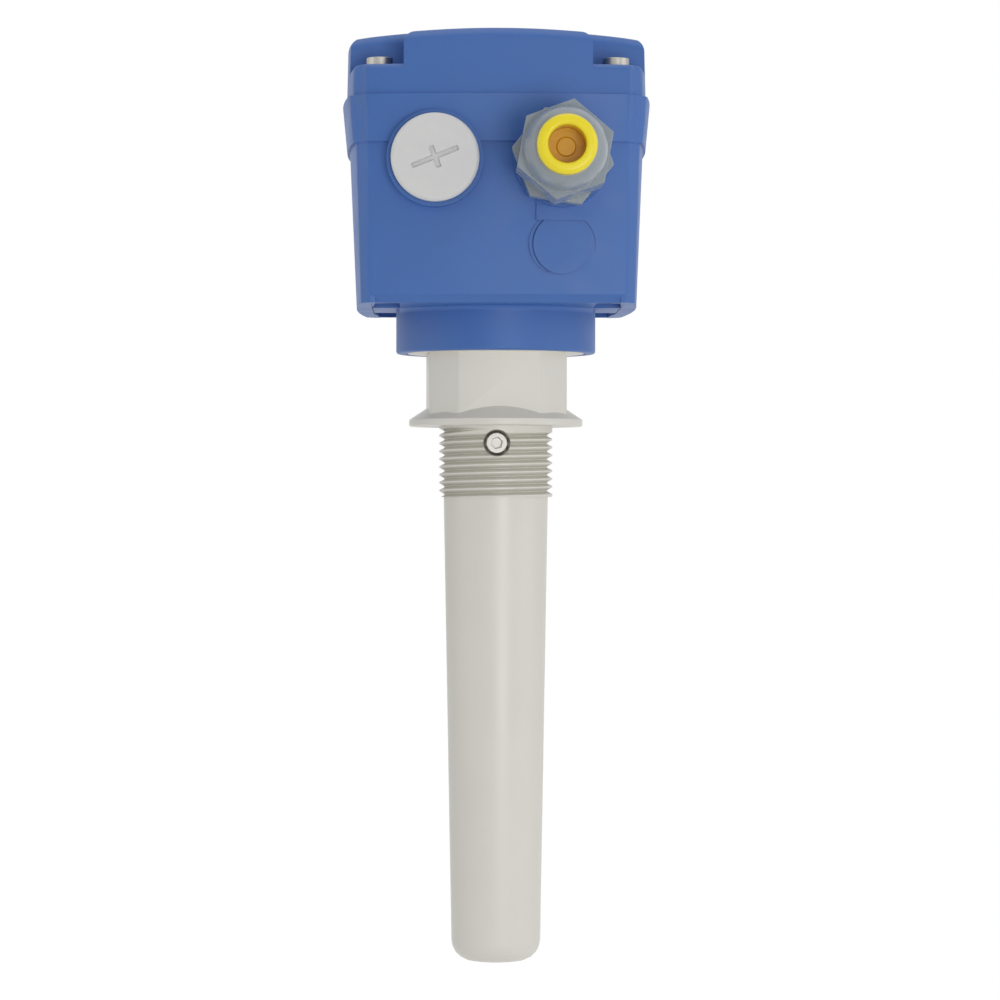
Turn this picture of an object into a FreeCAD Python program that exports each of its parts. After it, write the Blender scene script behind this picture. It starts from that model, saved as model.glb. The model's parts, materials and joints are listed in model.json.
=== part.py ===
import FreeCAD, Part
import Sketcher
import math
import os
import re

# Capacitive level probe with a plastic head, in millimetres.
# The origin lies on the sealing face of the flange, on the thread's axis.
# +Z points up to the head, -Y to the side with the two cable entries.

SIZES = {
    # Probe tube and process thread
    "probe_length": 156.6,
    "tube_dia_top": 30.6,
    "tube_dia_tip": 25.9,
    "tip_radius": 6.0,
    "tip_wall": 4.0,
    "bore_dia_top": 21.0,
    "bore_dia_tip": 19.0,
    "thread_dia": 33.249,
    "thread_length": 20.7,
    # Flange, wrench section and neck of the connection
    "flange_dia": 50.9,
    "flange_rim": 1.9,
    "flange_cone": 3.6,
    "wrench_across": 40.0,
    "wrench_corner": 8.0,
    "wrench_height": 21.3,
    "seat_ring_dia": 52.0,
    "seat_ring_height": 3.8,
    "neck_dia": 38.0,
    "o_ring_groove": 1.5,
    "o_ring_width": 2.6,
    "o_ring_drop": 4.0,
    # Contact screw in the thread
    "ground_height": 5.1,
    "ground_head_dia": 7.0,
    "ground_head_height": 2.4,
    "ground_pocket_dia": 8.2,
    "ground_pocket_depth": 2.8,
    "ground_shank_dia": 4.0,
    "ground_socket": 3.0,
    # Conductors inside the tube
    "sleeve_dia": 17.6,
    "sleeve_wall": 0.8,
    "sensing_length": 84.0,
    "shield_length": 46.0,
    "sleeve_spacer": 4.0,
    "rod_dia": 2.4,
    "rod_depth": 100.0,
    "spigot_dia": 5.8,
    "skirt_depth": 9.0,
    "skirt_wall": 0.8,
    # Retaining ring on the neck
    "ring_nut_dia": 47.0,
    "ring_nut_height": 4.0,
    "ring_nut_slot": 5.0,
    # Housing
    "collar_dia": 58.5,
    "collar_height": 12.8,
    "collar_fillet": 1.5,
    "body_width_bottom": 81.5,
    "body_width_top": 85.5,
    "body_height": 45.2,
    "body_corner": 5.0,
    "band_height": 13.2,
    "band_bulge": 7.3,
    "band_width_bottom": 87.8,
    "band_width": 89.5,
    "band_width_top": 87.4,
    "side_wall": 3.0,
    "floor_wall": 4.0,
    "cavity_corner": 2.5,
    "bevel_width": 72.0,
    "bevel_size": 2.2,
    "recess_inner": 28.2,
    "recess_width": 9.0,
    "recess_length": 74.0,
    "recess_depth": 2.5,
    # Cable entries
    "port_spacing": 35.6,
    "port_height": 40.1,
    "port_dia": 20.0,
    "port_boss_dia": 27.2,
    "port_boss_proud": 0.55,
    "disc_dia": 17.2,
    "disc_drop": 23.7,
    "disc_inset": 0.6,
    "disc_top": 6.6,
    "pad_width": 13.1,
    # Lid joint
    "lid_screw_pitch": 69.6,
    "lid_post_dia": 10.4,
    "insert_dia": 5.6,
    "insert_depth": 9.0,
    "gasket_width": 1.6,
    "gasket_height": 1.6,
    "groove_width": 2.0,
    "groove_depth": 2.4,
    # Lid
    "lid_width": 87.2,
    "lid_width_top": 86.2,
    "lid_rise": 21.6,
    "lid_crown_radius": 300.0,
    "lid_edge_radius": 3.2,
    "lid_pocket": 17.0,
    "lid_pocket_floor": 8.7,
    "lid_pocket_edge": 1.8,
    "lid_wall": 3.0,
    "lid_cavity": 14.2,
    "lid_screw_head": 7.5,
    "lid_screw_head_height": 2.4,
    "lid_screw_shank": 4.0,
    "lid_screw_length": 16.0,
    # Electronics
    "standoff_pitch": 49.0,
    "standoff_dia": 6.4,
    "standoff_height": 16.0,
    "board_length": 72.0,
    "board_depth": 56.0,
    "board_thickness": 1.6,
    "board_screw_dia": 2.5,
    "board_screw_head": 4.6,
    "terminal_pitch": 7.6,
    "terminal_depth": 12.0,
    "terminal_height": 11.0,
    "terminal_back": 22.0,
    "terminal_screw_dia": 4.0,
    "relay_length": 19.0,
    "relay_depth": 10.0,
    "relay_height": 12.0,
    "capacitor_dia": 8.0,
    "capacitor_height": 11.0,
    "led_dia": 3.0,
    "trimmer_width": 9.6,
    "trimmer_height": 4.6,
    "trimmer_rotor_dia": 6.0,
    "selector_length": 9.0,
    "selector_width": 4.6,
    "selector_height": 3.6,
    "selector_travel": 2.0,
    "socket_dia": 12.0,
    "socket_depth": 10.0,
    # Blanking plug
    "plug_head_dia": 24.8,
    "plug_head_height": 2.6,
    "plug_chamfer": 0.7,
    "plug_thread_length": 8.5,
    "plug_wall": 2.2,
    "plug_slot_length": 13.8,
    "plug_slot_width": 1.3,
    "plug_slot_depth": 1.2,
    "plug_cross_length": 6.2,
    "plug_slot_turn": 21.7,
    # Cable gland and dust plug
    "port_seal_thick": 1.0,
    "port_seal_dia": 22.4,
    "gland_hex_across": 25.0,
    "gland_hex_height": 5.5,
    "gland_hex_turn": 50.6,
    "gland_thread_dia": 21.0,
    "gland_thread_length": 9.5,
    "gland_bore_dia": 13.0,
    "cage_dia": 17.2,
    "cage_wall": 1.2,
    "cage_length": 13.0,
    "cage_slot": 1.4,
    "seal_bore_dia": 10.4,
    "nut_hex_across": 24.3,
    "nut_hex_height": 12.5,
    "nut_hex_turn": 19.8,
    "nut_dome_dia": 23.0,
    "nut_front_dia": 18.6,
    "nut_length": 26.0,
    "nut_mouth_dia": 14.8,
    "stopper_head_dia": 16.4,
    "stopper_head_height": 4.5,
    "stopper_neck_dia": 13.2,
    "stopper_stem_dia": 10.2,
    "stopper_hole_dia": 10.3,
    "stopper_hole_depth": 9.0,
    "stopper_stem_length": 16.0,
    # Clearances
    "running_gap": 0.1,
    "fit_gap": 0.05,
    "seat_gap": 0.3,
}

# Levels and places that follow from the sizes, as formulas on them
BASE = "(wrench_height + collar_height)"
FLOOR = f"({BASE} + floor_wall)"
BAND = f"({BASE} + body_height)"
PARTING = f"({BAND} + band_height)"
BOARD = f"({FLOOR} + standoff_height)"
BOARD_TOP = f"({BOARD} + board_thickness)"
NECK_TOP = f"({FLOOR} + ring_nut_height + seat_gap)"
POCKET_FLOOR = f"({PARTING} + lid_pocket_floor)"
PORT_Z = f"({BASE} + port_height)"
BOSS_FACE = "(band_width / 2 + port_boss_proud)"
CAVITY_HALF = "(body_width_top / 2 - side_wall)"
CARRIER_TOP = "(-ground_height + skirt_depth / 2 - skirt_wall - fit_gap)"
TUBE_FLOOR = "(-probe_length + tip_wall)"

doc = FreeCAD.newDocument("level_probe")
sheet = doc.addObject("Spreadsheet::Sheet", "Sizes")
for row, (alias, number) in enumerate(SIZES.items(), start=1):
    sheet.set(f"A{row}", alias.replace("_", " "))
    sheet.set(f"B{row}", str(number))
    sheet.setAlias(f"B{row}", alias)
doc.recompute()

FRONT = FreeCAD.Rotation(FreeCAD.Vector(1, 0, 0), 90)
parts = []


def formula(text):
    """Put the sheet's name before each size that a formula names."""
    return re.sub(r"[a-z_]{3,}", lambda word: sheet_name(word.group()), str(text))


def sheet_name(word):
    return f"Sizes.{word}" if word in SIZES else word


def number_of(text):
    return float(sheet.evalExpression(formula(text)))


def new_body(name):
    """Start one piece; its label names the file that it is written to."""
    body = doc.addObject("PartDesign::Body", name)
    body.Label = name
    parts.append(body)
    return body


def place(item, x="0", y="0", z="0", rotation=None):
    """Put a finished piece at a place that follows the sheet."""
    if rotation:
        item.Placement.Rotation = rotation
    for axis, text in zip("xyz", (x, y, z)):
        item.setExpression(f"Placement.Base.{axis}", formula(text))


def new_sketch(body, name, plane, offset="0"):
    sketch = body.newObject("Sketcher::SketchObject", name)
    origin = [item for item in body.Origin.OriginFeatures if item.Role == f"{plane}_Plane"]
    sketch.AttachmentSupport = (origin[0], [""])
    sketch.MapMode = "FlatFace"
    sketch.setExpression("AttachmentOffset.Base.z", formula(offset))
    return sketch


def measure(sketch, kind, places, text):
    """Add one dimension to a sketch and tie it to the sheet."""
    index = sketch.addConstraint(Sketcher.Constraint(kind, *places, number_of(text)))
    sketch.setExpression(f"Constraints[{index}]", formula(text))


def pin_point(sketch, shape, end, x, y):
    """Fix a point of a sketch by its two distances from the origin."""
    for kind, axis, text in (("DistanceX", -2, x), ("DistanceY", -1, y)):
        if str(text) == "0":
            sketch.addConstraint(Sketcher.Constraint("PointOnObject", shape, end, axis))
        else:
            measure(sketch, kind, (-1, 1, shape, end), text)


def arc_between(start, end, radius, turn):
    """Arc under half a turn from start to end: turn is 1 for anticlockwise, -1 for clockwise."""
    middle = (start + end) * 0.5
    chord = end - start
    reach = math.sqrt(max(radius ** 2 - (chord.Length / 2) ** 2, 0))
    side = FreeCAD.Vector(-chord.y, chord.x, 0).normalize() * reach * turn
    centre = middle + side
    first, last = (start, end) if turn > 0 else (end, start)
    angles = [math.atan2(point.y - centre.y, point.x - centre.x) for point in (first, last)]
    circle = Part.Circle(centre, FreeCAD.Vector(0, 0, 1), radius)
    return Part.ArcOfCircle(circle, angles[0], angles[1])


def outline(sketch, points, arcs=None):
    """Draw a closed outline; arcs gives the radius and turn of the stretch that leaves a point."""
    arcs = arcs or {}
    spots = [FreeCAD.Vector(number_of(x), number_of(y), 0) for x, y in points]
    count = len(points)
    first = sketch.GeometryCount
    starts = []
    for index, start in enumerate(spots):
        end = spots[(index + 1) % count]
        if index in arcs:
            radius, turn = arcs[index]
            sketch.addGeometry(arc_between(start, end, number_of(radius), turn), False)
            starts.append((1, 2) if turn > 0 else (2, 1))
        else:
            sketch.addGeometry(Part.LineSegment(start, end), False)
            starts.append((1, 2))
    for index in range(count):
        after = (index + 1) % count
        places = (first + index, starts[index][1], first + after, starts[after][0])
        sketch.addConstraint(Sketcher.Constraint("Coincident", *places))
    for index, (x, y) in enumerate(points):
        pin_point(sketch, first + index, starts[index][0], x, y)
    for index, (radius, turn) in arcs.items():
        measure(sketch, "Radius", (first + index,), radius)


def circle(sketch, x, y, radius):
    spot = FreeCAD.Vector(number_of(x), number_of(y), 0)
    shape = sketch.addGeometry(Part.Circle(spot, FreeCAD.Vector(0, 0, 1), number_of(radius)), False)
    pin_point(sketch, shape, 3, x, y)
    measure(sketch, "Radius", (shape,), radius)


def rectangle(sketch, low_x, low_y, high_x, high_y):
    outline(sketch, [(low_x, low_y), (high_x, low_y), (high_x, high_y), (low_x, high_y)])


def rounded_square(sketch, half, radius, half_depth=None):
    """Draw a rectangle about the origin with rounded corners."""
    deep = half_depth or half
    points = []
    arcs = {}
    for sign_x, sign_y in ((1, -1), (1, 1), (-1, 1), (-1, -1)):
        side = (f"{sign_x} * ({half})", f"{sign_y} * ({deep} - ({radius}))")
        cap = (f"{sign_x} * ({half} - ({radius}))", f"{sign_y} * ({deep})")
        arcs[len(points)] = (radius, 1)
        points += [cap, side] if sign_x * sign_y < 0 else [side, cap]
    outline(sketch, points, arcs)


def hexagon(sketch, across, turn):
    corner = f"({across}) / 2 / cos(30)"
    angles = [f"({turn} + {60 * step})" for step in range(6)]
    outline(sketch, [(f"{corner} * cos({angle})", f"{corner} * sin({angle})") for angle in angles])


def add(body, kind, name, sketch, length=None, reverse=False):
    """Add a pad, pocket, revolution or groove, and see that it did its work."""
    before = body.Shape.Volume if body.Tip else 0
    item = body.newObject(f"PartDesign::{kind}", name)
    item.Profile = sketch
    if length:
        item.setExpression("Length", formula(length))
    else:
        item.ReferenceAxis = (sketch, ["V_Axis"])
        item.Angle = 360
    item.Reversed = reverse
    doc.recompute()
    change = body.Shape.Volume - before
    if kind in ("Pocket", "Groove"):
        change = -change
    if change <= 0:
        raise RuntimeError(f"{body.Label}: {name} changed the volume by {change:.3f}")
    return item


def turned(name, points, arcs=None):
    """Piece turned about its own Z axis from an outline of radius and height."""
    body = new_body(name)
    sketch = new_sketch(body, f"{name}_outline", "XZ")
    outline(sketch, points, arcs)
    add(body, "Revolution", f"{name}_turn", sketch)
    return body


def tube(name, bore, outer, low, high):
    return turned(name, [(bore, low), (outer, low), (outer, high), (bore, high)])


def seal_ring(name, radius, section, height):
    """Round-section ring about its own Z axis."""
    body = new_body(name)
    sketch = new_sketch(body, f"{name}_section", "XZ")
    circle(sketch, radius, height, section)
    add(body, "Revolution", f"{name}_turn", sketch)
    return body


def pad(body, name, draw, plane, offset, length, reverse=False):
    sketch = new_sketch(body, f"{name}_sketch", plane, offset)
    draw(sketch)
    return add(body, "Pad", name, sketch, length, reverse)


def pocket(body, name, draw, plane, offset, length, reverse=False):
    sketch = new_sketch(body, f"{name}_sketch", plane, offset)
    draw(sketch)
    return add(body, "Pocket", name, sketch, length, reverse)


def loft(body, kind, name, plane, levels):
    """Loft through rounded squares given as height, half width and corner radius."""
    sketches = []
    for step, (level, half, radius) in enumerate(levels):
        sketch = new_sketch(body, f"{name}_{step}", plane, level)
        rounded_square(sketch, half, radius)
        sketches.append(sketch)
    item = body.newObject(f"PartDesign::{kind}Loft", name)
    item.Profile = sketches[0]
    item.Sections = sketches[1:]
    item.Ruled = True
    doc.recompute()
    return item


def around(body, name, features, count="4"):
    """Repeat features in equal steps about the piece's own Z axis."""
    sketch = new_sketch(body, f"{name}_axis", "XY")
    item = body.newObject("PartDesign::PolarPattern", name)
    item.Originals = features
    item.Axis = (sketch, ["N_Axis"])
    item.Angle = 360
    item.Occurrences = int(count)
    body.Tip = item
    doc.recompute()
    return item


def along(body, name, features, length, count):
    """Repeat features in a row along the piece's own X axis."""
    sketch = new_sketch(body, f"{name}_axis", "XY")
    item = body.newObject("PartDesign::LinearPattern", name)
    item.Originals = features
    item.Direction = (sketch, ["H_Axis"])
    item.setExpression("Length", formula(length))
    item.Occurrences = count
    body.Tip = item
    doc.recompute()
    return item


def soften(body, kind, name, size, wanted):
    """Fillet or chamfer the edges of the piece that the rule wants."""
    base = body.Tip
    edges = [f"Edge{index}" for index, edge in enumerate(base.Shape.Edges, start=1) if wanted(edge)]
    item = body.newObject(f"PartDesign::{kind}", name)
    item.Base = (base, edges)
    item.setExpression("Radius" if kind == "Fillet" else "Size", formula(size))
    doc.recompute()
    return item


def level_circle(height, radius):
    """Rule for a whole or part circle about Z of one radius at one height."""
    def wanted(edge):
        if edge.Degenerated:
            return False
        curve = edge.Curve
        if curve.TypeId != "Part::GeomCircle" or abs(abs(curve.Axis.z) - 1) > 1e-6:
            return False
        off_axis = math.hypot(curve.Center.x, curve.Center.y)
        return off_axis < 1e-6 and abs(curve.Center.z - height) < 1e-4 and abs(curve.Radius - radius) < 1e-4
    return wanted


def upright(edge):
    """Rule for a straight edge that runs along Z."""
    if edge.Degenerated or edge.Curve.TypeId != "Part::GeomLine":
        return False
    return abs(abs(edge.Curve.Direction.z) - 1) < 1e-6


# Connection: one moulding from the tip of the probe to the neck in the head
def make_probe_body():
    half = "wrench_across / 2"
    groove_low = f"({BASE} - o_ring_drop)"
    groove_high = f"({BASE} - o_ring_drop + o_ring_width)"
    points = [
        ("0", "-probe_length"),
        ("tube_dia_tip / 2 - tip_radius", "-probe_length"),
        ("tube_dia_tip / 2", "-probe_length + tip_radius"),
        ("tube_dia_top / 2", "-thread_length"),
        ("thread_dia / 2", "-thread_length"),
        ("thread_dia / 2", "0"),
        ("flange_dia / 2", "0"),
        ("flange_dia / 2", "flange_rim"),
        (half, "flange_rim + flange_cone"),
        (half, "wrench_height"),
        ("seat_ring_dia / 2", "wrench_height"),
        ("seat_ring_dia / 2", "wrench_height + seat_ring_height"),
        ("neck_dia / 2", "wrench_height + seat_ring_height"),
        ("neck_dia / 2", groove_low),
        ("neck_dia / 2 - o_ring_groove", groove_low),
        ("neck_dia / 2 - o_ring_groove", groove_high),
        ("neck_dia / 2", groove_high),
        ("neck_dia / 2", NECK_TOP),
        ("bore_dia_top / 2", NECK_TOP),
        ("bore_dia_top / 2", "-thread_length"),
        ("bore_dia_tip / 2", TUBE_FLOOR),
        ("0", TUBE_FLOOR),
    ]
    body = turned("probe_body", points, {1: ("tip_radius", 1)})
    corner = f"({half} - wrench_corner)"
    square = []
    for sign_x, sign_y in ((1, -1), (1, 1), (-1, 1), (-1, -1)):
        side = (f"{sign_x} * {half}", f"{sign_y} * {corner}")
        end = (f"{sign_x} * {corner}", f"{sign_y} * {half}")
        square += [end, side] if sign_x * sign_y < 0 else [side, end]
    length = "wrench_height - flange_rim"
    flats = new_sketch(body, "wrench_outline", "XY", "flange_rim")
    outline(flats, square)
    circle(flats, "0", "0", "neck_dia / 2 - wrench_corner / 4")
    add(body, "Pad", "wrench_flats", flats, length)
    screw = ("0", "-ground_height")
    face = "thread_dia / 2"
    pocket(body, "screw_pocket", lambda s: circle(s, *screw, "ground_pocket_dia / 2"),
           "XZ", f"{face} - ground_pocket_depth", "ground_pocket_depth + 2", True)
    pocket(body, "screw_hole", lambda s: circle(s, *screw, "ground_shank_dia / 2 + fit_gap"),
           "XZ", face, "thread_dia / 2 - bore_dia_top / 2 + 1")
    soften(body, "Chamfer", "rim_edge", "flange_rim / 6", level_circle(0, number_of("flange_dia / 2")))


def make_connection_pieces():
    place(turned("ground_screw", [
        ("0", "-ground_head_height"),
        ("ground_shank_dia / 2", "-ground_head_height"),
        ("ground_head_dia / 2", "-ground_head_height"),
        ("ground_head_dia / 2", "-ground_head_height / 2"),
        ("ground_head_dia / 2 - ground_head_height / 4", "0"),
        ("0", "0"),
    ]), "0", "-(thread_dia / 2 - ground_pocket_depth + ground_head_height)", "-ground_height", FRONT)
    screw = parts[-1]
    pad(screw, "screw_shank", lambda s: circle(s, "0", "0", "ground_shank_dia / 2"), "XY",
        "-ground_head_height", "(thread_dia - bore_dia_top) / 2 - ground_pocket_depth", True)
    pocket(screw, "screw_socket", lambda s: hexagon(s, "ground_socket", "15"), "XY", "0",
           "ground_head_height * 0.6")

    core = "sleeve_dia / 2 - sleeve_wall - fit_gap"
    low = f"{TUBE_FLOOR} + seat_gap"
    sensing_top = f"({TUBE_FLOOR} + 2 * seat_gap + sleeve_wall + sensing_length)"
    shield_low = f"({sensing_top} + sleeve_spacer)"
    turned("sensing_electrode", [
        ("0", low),
        ("sleeve_dia / 2", low),
        ("sleeve_dia / 2", sensing_top),
        ("sleeve_dia / 2 - sleeve_wall", sensing_top),
        ("sleeve_dia / 2 - sleeve_wall", f"{low} + sleeve_wall"),
        ("0", f"{low} + sleeve_wall"),
    ])
    tube("shield_electrode", "sleeve_dia / 2 - sleeve_wall", "sleeve_dia / 2", shield_low,
         f"{shield_low} + shield_length")
    turned("electrode_carrier", [
        ("0", f"{low} + sleeve_wall"),
        (core, f"{low} + sleeve_wall"),
        (core, sensing_top),
        ("sleeve_dia / 2", sensing_top),
        ("sleeve_dia / 2", shield_low),
        (core, shield_low),
        (core, CARRIER_TOP),
        ("spigot_dia / 2", CARRIER_TOP),
        ("spigot_dia / 2", f"{BOARD} - 3"),
        ("rod_dia / 2 + fit_gap", f"{BOARD} - 3"),
        ("rod_dia / 2 + fit_gap", "-rod_depth"),
        ("0", "-rod_depth"),
    ])
    turned("contact_rod", [
        ("0", "-rod_depth"),
        ("rod_dia / 2", "-rod_depth"),
        ("rod_dia / 2", f"{BOARD} - rod_dia / 2 - 1"),
        ("rod_dia / 4", f"{BOARD} - 1"),
        ("0", f"{BOARD} - 1"),
    ])
    skirt = "bore_dia_top / 2 - fit_gap"
    inner = "spigot_dia / 2 + fit_gap"
    turned("ground_sleeve", [
        (inner, f"{CARRIER_TOP} + fit_gap"),
        (f"{skirt} - skirt_wall", f"{CARRIER_TOP} + fit_gap"),
        (f"{skirt} - skirt_wall", f"{CARRIER_TOP} + skirt_wall - skirt_depth"),
        (skirt, f"{CARRIER_TOP} + skirt_wall - skirt_depth"),
        (skirt, f"{CARRIER_TOP} + fit_gap + skirt_wall"),
        (f"{inner} + skirt_wall", f"{CARRIER_TOP} + fit_gap + skirt_wall"),
        (f"{inner} + skirt_wall", f"{BOARD} - 4"),
        (inner, f"{BOARD} - 4"),
    ])
    section = "(o_ring_groove + running_gap / 2) / 2 - 0.02"
    seal_ring("neck_o_ring", f"neck_dia / 2 - o_ring_groove + 0.01 + {section}", section,
              f"{BASE} - o_ring_drop + o_ring_width / 2")
    ring = tube("retaining_ring", "neck_dia / 2 + fit_gap", "ring_nut_dia / 2", FLOOR,
                f"{FLOOR} + ring_nut_height")
    slot = pocket(ring, "spanner_slot", lambda s: rectangle(
        s, "ring_nut_dia / 2 - 2", "-ring_nut_slot / 2", "ring_nut_dia / 2 + 2", "ring_nut_slot / 2"),
        "XY", f"{FLOOR} + ring_nut_height", "ring_nut_height / 2")
    around(ring, "spanner_slots", [slot])


# Head: a drafted box with a heavier rim band, a collar below and two entries in front
def make_housing():
    body = new_body("housing_base")
    corner = "body_corner"
    loft(body, "Additive", "box", "XY", [
        (BASE, "body_width_bottom / 2", corner),
        (f"{BAND} + 1", "body_width_top / 2", corner),
    ])
    loft(body, "Additive", "band", "XY", [
        (BAND, "band_width_bottom / 2", f"{corner} + (band_width_bottom - body_width_top) / 2"),
        (f"{BAND} + band_bulge", "band_width / 2", f"{corner} + (band_width - body_width_top) / 2"),
        (PARTING, "band_width_top / 2", corner),
    ])
    for side, sign in (("left", -1), ("right", 1)):
        low, high = sorted((f"{sign} * recess_inner", f"{sign} * (recess_inner + recess_width)"),
                           key=number_of)
        pocket(body, f"recess_{side}", lambda s: rectangle(
            s, low, "-recess_length / 2", high, "recess_length / 2"),
            "XY", BASE, "recess_depth", True)
    for side, sign in (("front", -1), ("back", 1)):
        face = f"({sign} * body_width_bottom / 2)"
        bevel = new_sketch(body, f"bevel_{side}_sketch", "YZ", "-bevel_width / 2")
        corners = [(f"{face} + {sign}", f"{BASE} - 1"),
                   (f"{face} - {sign} * (bevel_size + 1)", f"{BASE} - 1"),
                   (f"{face} + {sign}", f"{BASE} + bevel_size + 1")]
        outline(bevel, corners if sign > 0 else corners[::-1])
        add(body, "Pocket", f"bevel_{side}", bevel, "bevel_width", True)
    collar = pad(body, "collar", lambda s: circle(s, "0", "0", "collar_dia / 2"), "XY",
                 f"{BASE} + recess_depth", "collar_height + recess_depth", True)
    soften(body, "Fillet", "collar_root", "collar_fillet",
           level_circle(number_of(BASE), number_of("collar_dia / 2")))
    soften(body, "Fillet", "collar_edge", "collar_fillet / 2",
           level_circle(number_of("wrench_height"), number_of("collar_dia / 2")))
    port_x = "port_spacing / 2"
    inside = f"({CAVITY_HALF} + 0.5)"
    for side, sign in (("left", -1), ("right", 1)):
        pad(body, f"boss_{side}", lambda s: circle(s, f"{sign} * {port_x}", PORT_Z, "port_boss_dia / 2"),
            "XZ", inside, f"{BOSS_FACE} - {inside}")
    disc_x = f"({port_x} - disc_inset)"
    disc_z = f"({PORT_Z} - disc_drop)"
    disc_half = "sqrt((disc_dia / 2) ^ 2 - disc_top ^ 2)"
    disc = new_sketch(body, "disc_sketch", "XZ", "body_width_bottom / 2 - side_wall + 0.5")
    outline(disc, [
        (f"{disc_x} + {disc_half}", f"{disc_z} + disc_top"),
        (f"{disc_x} - {disc_half}", f"{disc_z} + disc_top"),
        (f"{disc_x} - disc_dia / 2", disc_z),
        (disc_x, f"{disc_z} - disc_dia / 2"),
        (f"{disc_x} + disc_dia / 2", disc_z),
    ], {index: ("disc_dia / 2", 1) for index in (1, 2, 3, 4)})
    add(body, "Pad", "disc", disc, "(body_width_top - body_width_bottom) / 2 + side_wall - 1.2")
    pad(body, "disc_pad", lambda s: rectangle(
        s, f"{disc_x} - pad_width / 2", f"{disc_z} + disc_top", f"{disc_x} + pad_width / 2", PORT_Z),
        "XZ", inside, f"body_width_top / 2 - {inside}")
    loft(body, "Subtractive", "cavity", "XY", [
        (FLOOR, "body_width_bottom / 2 - side_wall", "cavity_corner"),
        (f"{PARTING} + 0.01", CAVITY_HALF, "cavity_corner"),
    ])
    post = ("lid_screw_pitch / 2", "lid_screw_pitch / 2")
    height = f"{PARTING} - {FLOOR}"
    first = pad(body, "lid_post", lambda s: circle(s, *post, "lid_post_dia / 2"), "XY",
                f"{FLOOR} - 1", f"{height} + 1")
    around(body, "lid_posts", [first])
    hole = pocket(body, "insert_hole", lambda s: circle(s, *post, "insert_dia / 2 + fit_gap"),
                  "XY", PARTING, "insert_depth + lid_screw_length / 2")
    around(body, "insert_holes", [hole])
    stand = ("standoff_pitch / 2", "standoff_pitch / 2")
    first = pad(body, "standoff", lambda s: circle(s, *stand, "standoff_dia / 2"), "XY",
                f"{FLOOR} - 1", "standoff_height + 1")
    around(body, "standoffs", [first])
    hole = pocket(body, "pilot_hole", lambda s: circle(s, *stand, "board_screw_dia / 2 + fit_gap"),
                  "XY", BOARD, "standoff_height / 2")
    around(body, "pilot_holes", [hole])
    for side, sign in (("left", -1), ("right", 1)):
        pocket(body, f"port_{side}", lambda s: circle(s, f"{sign} * {port_x}", PORT_Z, "port_dia / 2"),
               "XZ", BOSS_FACE, f"{BOSS_FACE} - {CAVITY_HALF} + lid_post_dia")
    pocket(body, "neck_bore", lambda s: circle(s, "0", "0", "neck_dia / 2 + running_gap"),
           "XY", f"{FLOOR}", "floor_wall + collar_height")
    pocket(body, "ring_seat", lambda s: circle(s, "0", "0", "seat_ring_dia / 2 + seat_gap"),
           "XY", "wrench_height", "seat_ring_height", True)
    middle = f"({CAVITY_HALF} + band_width_top / 2) / 2"
    groove = new_sketch(body, "groove_sketch", "XY", PARTING)
    rounded_square(groove, f"{middle} + groove_width / 2", "cavity_corner + groove_width")
    rounded_square(groove, f"{middle} - groove_width / 2", "cavity_corner")
    add(body, "Pocket", "gasket_groove", groove, "groove_depth")


def make_rim_ring(name, width, height, low):
    """Rounded square ring on the middle line of the housing's rim."""
    body = new_body(name)
    draw_rim_ring(body, name, width, low, height)
    return body


def draw_rim_ring(body, name, width, low, height):
    middle = f"({CAVITY_HALF} + band_width_top / 2) / 2"
    sketch = new_sketch(body, f"{name}_section", "XY", low)
    spare = f"(groove_width - {width}) / 2"
    rounded_square(sketch, f"{middle} + {width} / 2", f"cavity_corner + groove_width - {spare}")
    rounded_square(sketch, f"{middle} - {width} / 2", f"cavity_corner + {spare}")
    return add(body, "Pad", f"{name}_ring", sketch, height)


def make_lid_joint():
    make_rim_ring("lid_gasket", "gasket_width", "gasket_height", f"{PARTING} - groove_depth")
    body = new_body("thread_inserts")
    sketch = new_sketch(body, "insert_section", "XY", f"{PARTING} - insert_depth")
    post = ("lid_screw_pitch / 2", "lid_screw_pitch / 2")
    circle(sketch, *post, "insert_dia / 2")
    circle(sketch, *post, "lid_screw_shank / 2 + fit_gap")
    first = add(body, "Pad", "insert", sketch, "insert_depth - fit_gap")
    around(body, "inserts", [first])


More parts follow.
